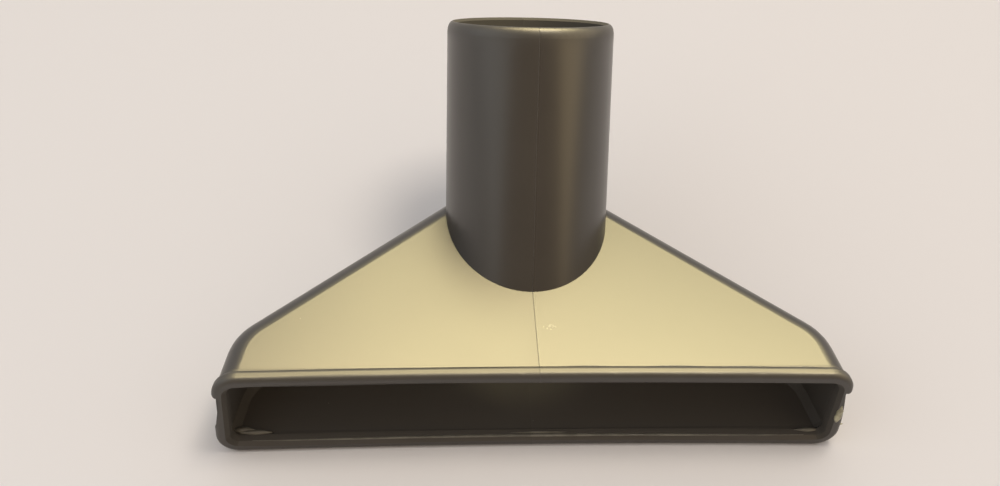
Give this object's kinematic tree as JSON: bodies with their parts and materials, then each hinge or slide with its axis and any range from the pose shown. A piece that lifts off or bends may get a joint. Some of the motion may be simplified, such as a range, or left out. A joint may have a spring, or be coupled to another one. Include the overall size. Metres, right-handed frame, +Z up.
{
  "type": "small suction nozzle",
  "caption": "Flat fan-shaped nozzle with a wide beaded mouth and a leaning round wand socket, moulded in one piece, for drawing up water and dirt from upholstery and windows.",
  "frame": {"origin": "on the table, under the middle of the part's box", "axes": "+X along the mouth, +Y from the mouth towards the socket, +Z up"},
  "size_m": [0.1438, 0.0938, 0.0724],
  "materials": {
    "charcoal_plastic": "satin moulded, with a fine grain and a faint parting line"
  },
  "bodies": {
    "root": {"nozzle": "charcoal_plastic"}
  },
  "joints": []
}
